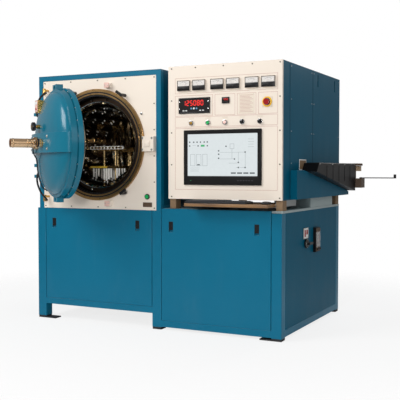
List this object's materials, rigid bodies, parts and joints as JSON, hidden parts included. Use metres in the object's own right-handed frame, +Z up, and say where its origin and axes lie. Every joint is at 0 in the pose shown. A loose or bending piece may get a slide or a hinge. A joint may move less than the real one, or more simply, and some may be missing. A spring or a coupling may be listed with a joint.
{
  "type": "vacuum furnace",
  "caption": "Front-loading vacuum furnace on a steel cabinet: round hinged chamber door, heated chamber, pumps below and a control cabinet with screen and keyboard shelf.",
  "frame": {"origin": "on the floor, at the centre of the four anchor holes in the corner feet", "axes": "+X to the right along the front, +Y from the front to the rear, +Z up"},
  "size_m": [2.586, 2.2804, 1.98],
  "materials": {
    "frame_teal": "semi-gloss enamel",
    "foot_black": "matt",
    "cover_teal": "semi-gloss enamel",
    "deck_grey": "satin",
    "front_cream": "satin enamel",
    "screw_steel": "plain",
    "chamber_steel": "satin",
    "flange_bronze": "satin bronze",
    "seal_rubber": "matt",
    "shield_metal": "polished",
    "element_metal": "satin",
    "hearth_metal": "satin",
    "copper": "bare copper",
    "core_iron": "varnished",
    "pump_steel": "satin",
    "pump_paint": "enamel",
    "fitting_brass": "plain",
    "cabinet_teal": "semi-gloss enamel",
    "plate_zinc": "zinc plated",
    "meter_face": "clear front",
    "instrument_black": "gloss",
    "collar_chrome": "bright",
    "monitor_black": "matt",
    "screen_glass": "lit screen",
    "riser_tan": "satin",
    "case_black": "satin",
    "head_brown": "satin",
    "door_teal": "semi-gloss enamel",
    "panel_teal": "semi-gloss enamel",
    "latch_black": "matt",
    "shelf_brown": "varnished",
    "keyboard_black": "matt",
    "mouse_black": "gloss",
    "stop_red": "gloss",
    "start_green": "gloss",
    "knob_black": "gloss",
    "tube_copper": "heat tinted",
    "hose_rubber": "matt"
  },
  "bodies": {
    "furnace": {"base_frame": "frame_teal", "base_feet": "foot_black", "base_skins": "cover_teal", "base_deck": "deck_grey", "furnace_frame": "frame_teal", "furnace_skins": "cover_teal", "furnace_front_panel": "front_cream", "panel_screws": "screw_steel", "chamber_shell": "chamber_steel", "chamber_flange": "flange_bronze", "flange_o_ring": "seal_rubber", "hot_zone_shields": "shield_metal", "heating_elements": "element_metal", "hearth": "hearth_metal", "power_feedthroughs": "copper", "power_transformer": "core_iron", "diffusion_pump": "pump_steel", "high_vacuum_valve": "pump_steel", "roughing_pump": "pump_paint", "vacuum_piping": "pump_steel", "cooling_manifold": "fitting_brass", "cabinet_shell": "cabinet_teal", "control_panel": "front_cream", "contactor_plate": "plate_zinc", "meters": "meter_face", "temperature_controller": "instrument_black", "switch_collars": "collar_chrome", "monitor_case": "monitor_black", "monitor_screen": "screen_glass", "shelf_slides": "plate_zinc", "cabinet_risers": "riser_tan", "junction_box": "deck_grey", "recorder_bracket": "cabinet_teal", "recorder_case": "case_black", "recorder_head": "head_brown", "disconnect_box": "case_black", "hinge_brackets": "door_teal"},
    "door": {"door_head": "door_teal", "door_shields": "shield_metal", "door_beam": "door_teal", "door_port_tube": "tube_copper", "door_fittings": "fitting_brass", "door_hoses": "hose_rubber"},
    "vent_knob": {"door_knob": "knob_black"},
    "keyboard_drawer": {"keyboard_shelf": "shelf_brown", "keyboard": "keyboard_black", "mouse": "mouse_black"},
    "stop_push": {"stop_button": "stop_red"},
    "start_push": {"start_button": "start_green"},
    "mode_switch": {"mode_selector": "knob_black"},
    "pump_switch": {"pump_selector": "knob_black"},
    "disconnect_lever": {"disconnect_handle": "collar_chrome"},
    "swing_arm": {"recorder_arm": "case_black"},
    "left_cover": {"left_front_panel": "panel_teal"},
    "right_cover": {"right_front_panel": "panel_teal"},
    "left_latches": {"left_panel_latches": "latch_black"},
    "right_latches": {"right_panel_latches": "latch_black"},
    "dog_upper_left": {"clamp_dog_upper_left": "latch_black"},
    "dog_upper_right": {"clamp_dog_upper_right": "latch_black"},
    "dog_lower_right": {"clamp_dog_lower_right": "latch_black"}
  },
  "joints": [
    {"name": "door_hinge", "type": "hinge", "parent": "furnace", "child": "door", "pos_m": [-0.955, -0.74, 1.41], "axis": [0, 0, -1], "range_deg": [-36, 70]},
    {"name": "vent_turn", "type": "hinge", "parent": "door", "child": "vent_knob", "pos_m": [-0.72798, -1.1608, 1.535], "axis": [-0.5878, -0.809, 0], "range_deg": [0, 340]},
    {"name": "drawer_slide", "type": "slide", "parent": "furnace", "child": "keyboard_drawer", "axis": [0, -1, 0], "range_m": [-0.13, 0.15]},
    {"name": "stop_press", "type": "slide", "parent": "furnace", "child": "stop_push", "axis": [0, 1, 0], "range_m": [0, 0.005], "stiffness_N_per_m": 600},
    {"name": "start_press", "type": "slide", "parent": "furnace", "child": "start_push", "axis": [0, 1, 0], "range_m": [0, 0.004], "stiffness_N_per_m": 400},
    {"name": "mode_turn", "type": "hinge", "parent": "furnace", "child": "mode_switch", "pos_m": [0.763, -0.698, 1.55695], "axis": [0, -1, 0], "range_deg": [-45, 45]},
    {"name": "pump_turn", "type": "hinge", "parent": "furnace", "child": "pump_switch", "pos_m": [0.899, -0.698, 1.55695], "axis": [0, -1, 0], "range_deg": [-45, 45]},
    {"name": "disconnect_turn", "type": "hinge", "parent": "furnace", "child": "disconnect_lever", "pos_m": [1.075, -0.182, 0.655], "axis": [1, 0, 0], "range_deg": [0, 90]},
    {"name": "arm_swing", "type": "hinge", "parent": "furnace", "child": "swing_arm", "pos_m": [1.221, 0.83, 1.145], "axis": [0, 0, 1], "range_deg": [-85, 90]},
    {"name": "left_cover_tilt", "type": "hinge", "parent": "furnace", "child": "left_cover", "pos_m": [-0.485, -0.69, 0.1706], "axis": [1, 0, 0], "range_deg": [0, 20]},
    {"name": "right_cover_tilt", "type": "hinge", "parent": "furnace", "child": "right_cover", "pos_m": [0.541, -0.69, 0.0726], "axis": [1, 0, 0], "range_deg": [0, 20]},
    {"name": "left_latch_slide", "type": "slide", "parent": "left_cover", "child": "left_latches", "axis": [0, 0, -1], "range_m": [0, 0.012]},
    {"name": "right_latch_slide", "type": "slide", "parent": "right_cover", "child": "right_latches", "axis": [0, 0, -1], "range_m": [0, 0.012]},
    {"name": "dog_upper_left_turn", "type": "hinge", "parent": "furnace", "child": "dog_upper_left", "pos_m": [-0.68477, -0.72, 1.82165], "axis": [0, -1, 0], "range_deg": [0, 90]},
    {"name": "dog_upper_right_turn", "type": "hinge", "parent": "furnace", "child": "dog_upper_right", "pos_m": [-0.2213, -0.72, 1.78517], "axis": [0, -1, 0], "range_deg": [0, 90]},
    {"name": "dog_lower_right_turn", "type": "hinge", "parent": "furnace", "child": "dog_lower_right", "pos_m": [-0.2213, -0.72, 1.03483], "axis": [0, -1, 0], "range_deg": [0, 90]}
  ]
}
